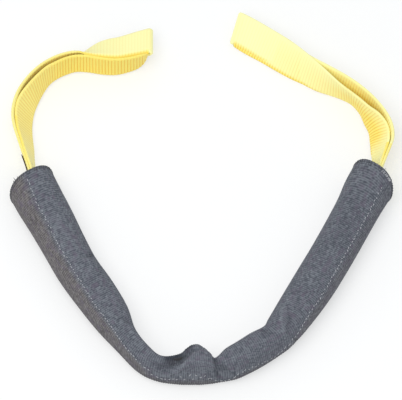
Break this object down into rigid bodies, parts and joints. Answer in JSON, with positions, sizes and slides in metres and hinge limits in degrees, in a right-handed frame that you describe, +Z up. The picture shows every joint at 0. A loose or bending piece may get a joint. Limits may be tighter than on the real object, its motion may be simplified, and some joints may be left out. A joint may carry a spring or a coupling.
{
  "type": "protected webbing sling",
  "caption": "Endless loop of ribbed webbing in a sliding woven wear sleeve with a sewn seam, laid in a U with an open eye at each end, for padding a rope anchor over an edge.",
  "frame": {"origin": "Middle of the laid sling's box, on the surface that the sleeve rests on.", "axes": "+Z is up from the surface. +Y runs from the closed bend of the U towards the two eyes. +X runs from the left eye to the right eye."},
  "size_m": [0.2916, 0.3222, 0.0339],
  "materials": {
    "yellow_webbing": "ribbed woven polyester, satin",
    "grey_sleeve_fabric": "coarse ribbed weave, matt",
    "grey_seam_thread": "twisted thread, matt",
    "yellow_tack_thread": "twisted thread, satin",
    "blank_black_label": "woven tape, satin"
  },
  "bodies": {
    "sleeve": {"sleeve_tube": "grey_sleeve_fabric", "sleeve_seam_thread": "grey_seam_thread", "left_rim_thread": "grey_seam_thread", "right_rim_thread": "grey_seam_thread"},
    "strap": {"webbing_outer_ply": "yellow_webbing", "webbing_inner_ply": "yellow_webbing", "webbing_lap_end": "yellow_webbing", "lap_tack_a": "yellow_tack_thread", "lap_tack_b": "yellow_tack_thread", "lap_tack_c": "yellow_tack_thread"},
    "left_eye": {"left_eye_webbing": "yellow_webbing", "blank_label": "blank_black_label", "label_stitches": "grey_seam_thread"},
    "right_eye": {"right_eye_webbing": "yellow_webbing"}
  },
  "joints": [
    {"name": "strap_slide", "type": "hinge", "parent": "sleeve", "child": "strap", "pos_m": [0.00049, -0.02118, 0.0142], "axis": [0, 0, 1], "range_deg": [-0.8, 0.8]},
    {"name": "left_eye_swing", "type": "hinge", "parent": "strap", "child": "left_eye", "pos_m": [-0.12569, 0.00048, 0.0142], "axis": [0, 0, 1], "range_deg": [-8, 14]},
    {"name": "right_eye_swing", "type": "hinge", "parent": "strap", "child": "right_eye", "pos_m": [0.12523, 0.00427, 0.0142], "axis": [0, 0, 1], "range_deg": [-14, 8]}
  ]
}
